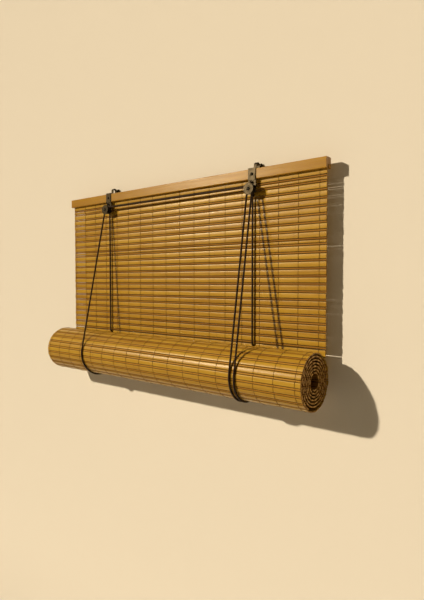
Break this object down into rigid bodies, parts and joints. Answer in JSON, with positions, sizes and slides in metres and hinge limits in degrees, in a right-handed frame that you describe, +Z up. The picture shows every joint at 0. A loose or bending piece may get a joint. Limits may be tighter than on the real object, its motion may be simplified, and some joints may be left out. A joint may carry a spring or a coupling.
{
  "type": "bamboo roll up blind",
  "caption": "Woven bamboo slat blind, partly rolled up in cord slings below a wooden head rail, with hooked metal hangers and pulleys.",
  "frame": {"origin": "on the hooks' common axis, half way between the two hangers", "axes": "+X along the rail to the right as seen from the room, +Y to the wall, +Z up"},
  "size_m": [0.8225, 0.1238, 0.5128],
  "materials": {
    "rail_wood": "satin varnish",
    "bamboo": "satin lacquer",
    "iron": "dark bronzed",
    "sheave": "matt",
    "cord": "braided"
  },
  "bodies": {
    "rail": {"head_rail": "rail_wood", "woven_mat": "bamboo", "mat_pins": "iron", "left_hanger": "iron", "right_hanger": "iron", "hanger_screws": "iron", "left_axle": "iron", "right_axle": "iron", "left_pulley_cap": "iron", "right_pulley_cap": "iron", "left_rear_cord": "cord", "right_rear_cord": "cord", "left_rear_knot": "cord", "right_rear_knot": "cord", "left_front_cord": "cord", "right_front_cord": "cord", "pull_cord": "cord", "cross_cord": "cord", "cross_knot": "cord", "right_over_cord": "cord"},
    "slings": {"left_sling": "cord", "right_sling": "cord", "pull_sling": "cord", "pull_knot": "cord"},
    "roll": {"rolled_mat": "bamboo"},
    "left_sheave": {"left_sheave": "sheave"},
    "right_sheave": {"right_sheave": "sheave"}
  },
  "joints": [
    {"name": "roll_lift", "type": "slide", "parent": "rail", "child": "slings", "axis": [0, 0, 1], "range_m": [0, 0.28], "deforming": ["woven_mat", "left_rear_cord", "right_rear_cord", "left_front_cord", "right_front_cord", "pull_cord"]},
    {"name": "roll_turn", "type": "hinge", "parent": "slings", "child": "roll", "pos_m": [0, -0.045, -0.444], "axis": [1, 0, 0], "range_deg": [-300, 0]},
    {"name": "left_sheave_spin", "type": "hinge", "parent": "rail", "child": "left_sheave", "pos_m": [-0.238, -0.025, -0.054], "axis": [0, 1, 0], "continuous": true},
    {"name": "right_sheave_spin", "type": "hinge", "parent": "rail", "child": "right_sheave", "pos_m": [0.238, -0.025, -0.054], "axis": [0, 1, 0], "continuous": true}
  ],
  "couplings": [
    {"joint": "roll_turn", "follows": "roll_lift", "rad_per_m": -17.391}
  ]
}
